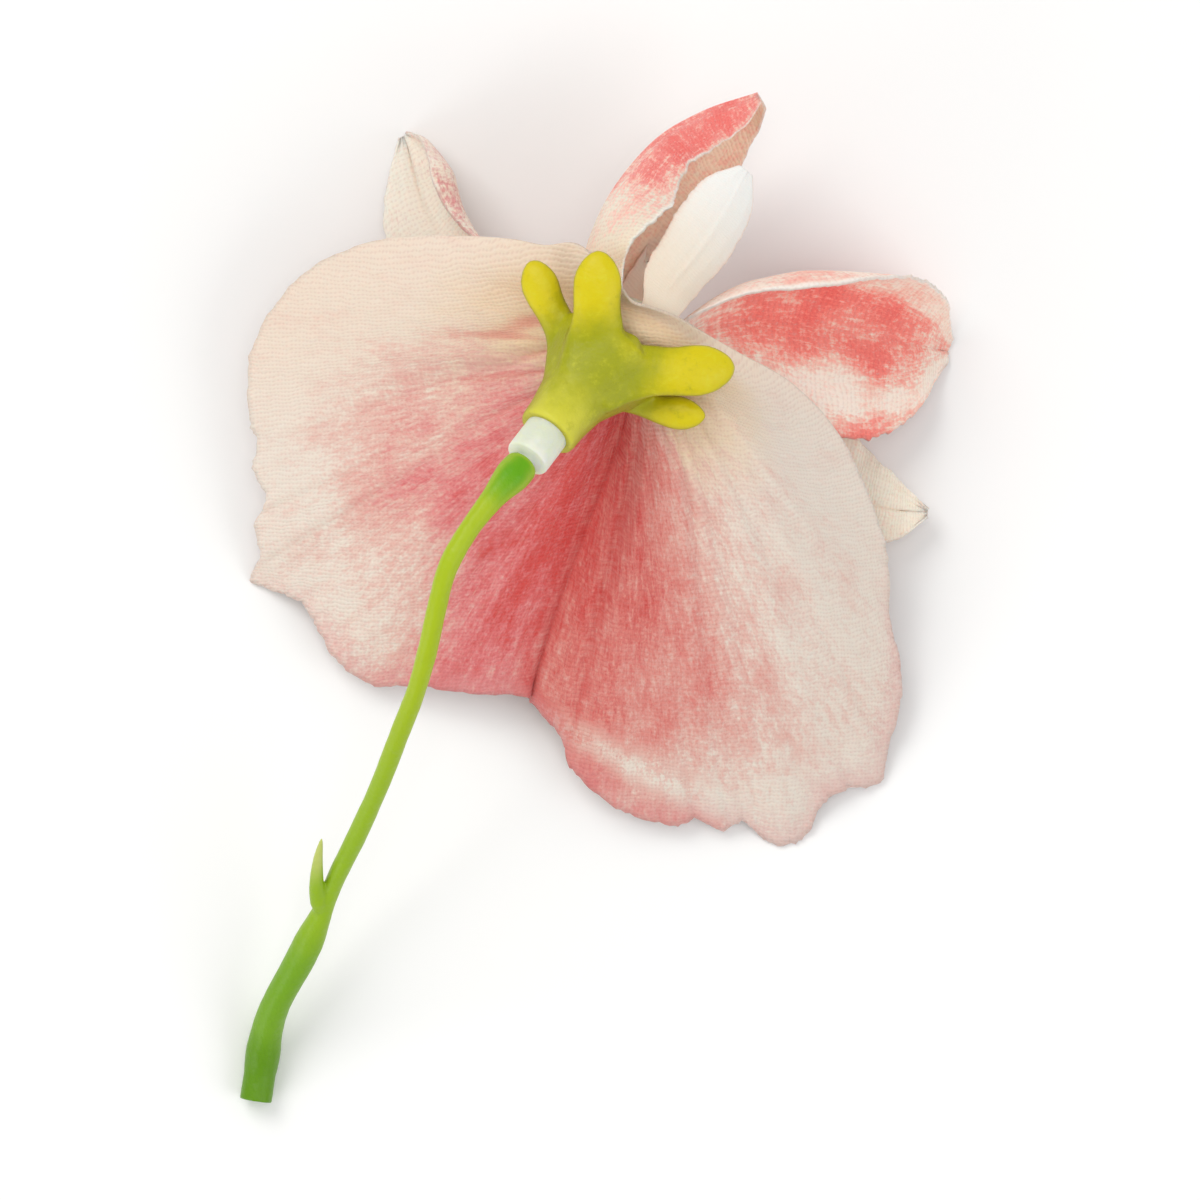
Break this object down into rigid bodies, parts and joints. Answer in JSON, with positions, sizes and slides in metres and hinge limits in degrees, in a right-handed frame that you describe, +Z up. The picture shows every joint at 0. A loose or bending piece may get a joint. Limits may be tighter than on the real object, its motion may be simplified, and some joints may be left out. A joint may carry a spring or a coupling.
{
  "type": "sweet pea flower",
  "caption": "Fabric sweet pea bloom on a moulded green stalk, lying face down: a broad two-lobed banner over curled wings and a small keel.",
  "frame": {"origin": "middle of the bounding box, on the surface the flower lies on", "axes": "+Z up from that surface, +Y the way the bloom heads, seen from above, with the stalk towards -Y"},
  "size_m": [0.0664, 0.0936, 0.0361],
  "materials": {
    "stalk": "satin moulded plastic",
    "peg": "satin moulded plastic",
    "calyx": "satin moulded plastic",
    "banner": "printed woven cloth",
    "wings": "printed woven cloth",
    "keel": "woven cloth"
  },
  "bodies": {
    "root": {"stalk": "stalk", "peg": "peg", "calyx": "calyx", "banner": "banner", "wings": "wings", "keel": "keel"}
  },
  "joints": []
}
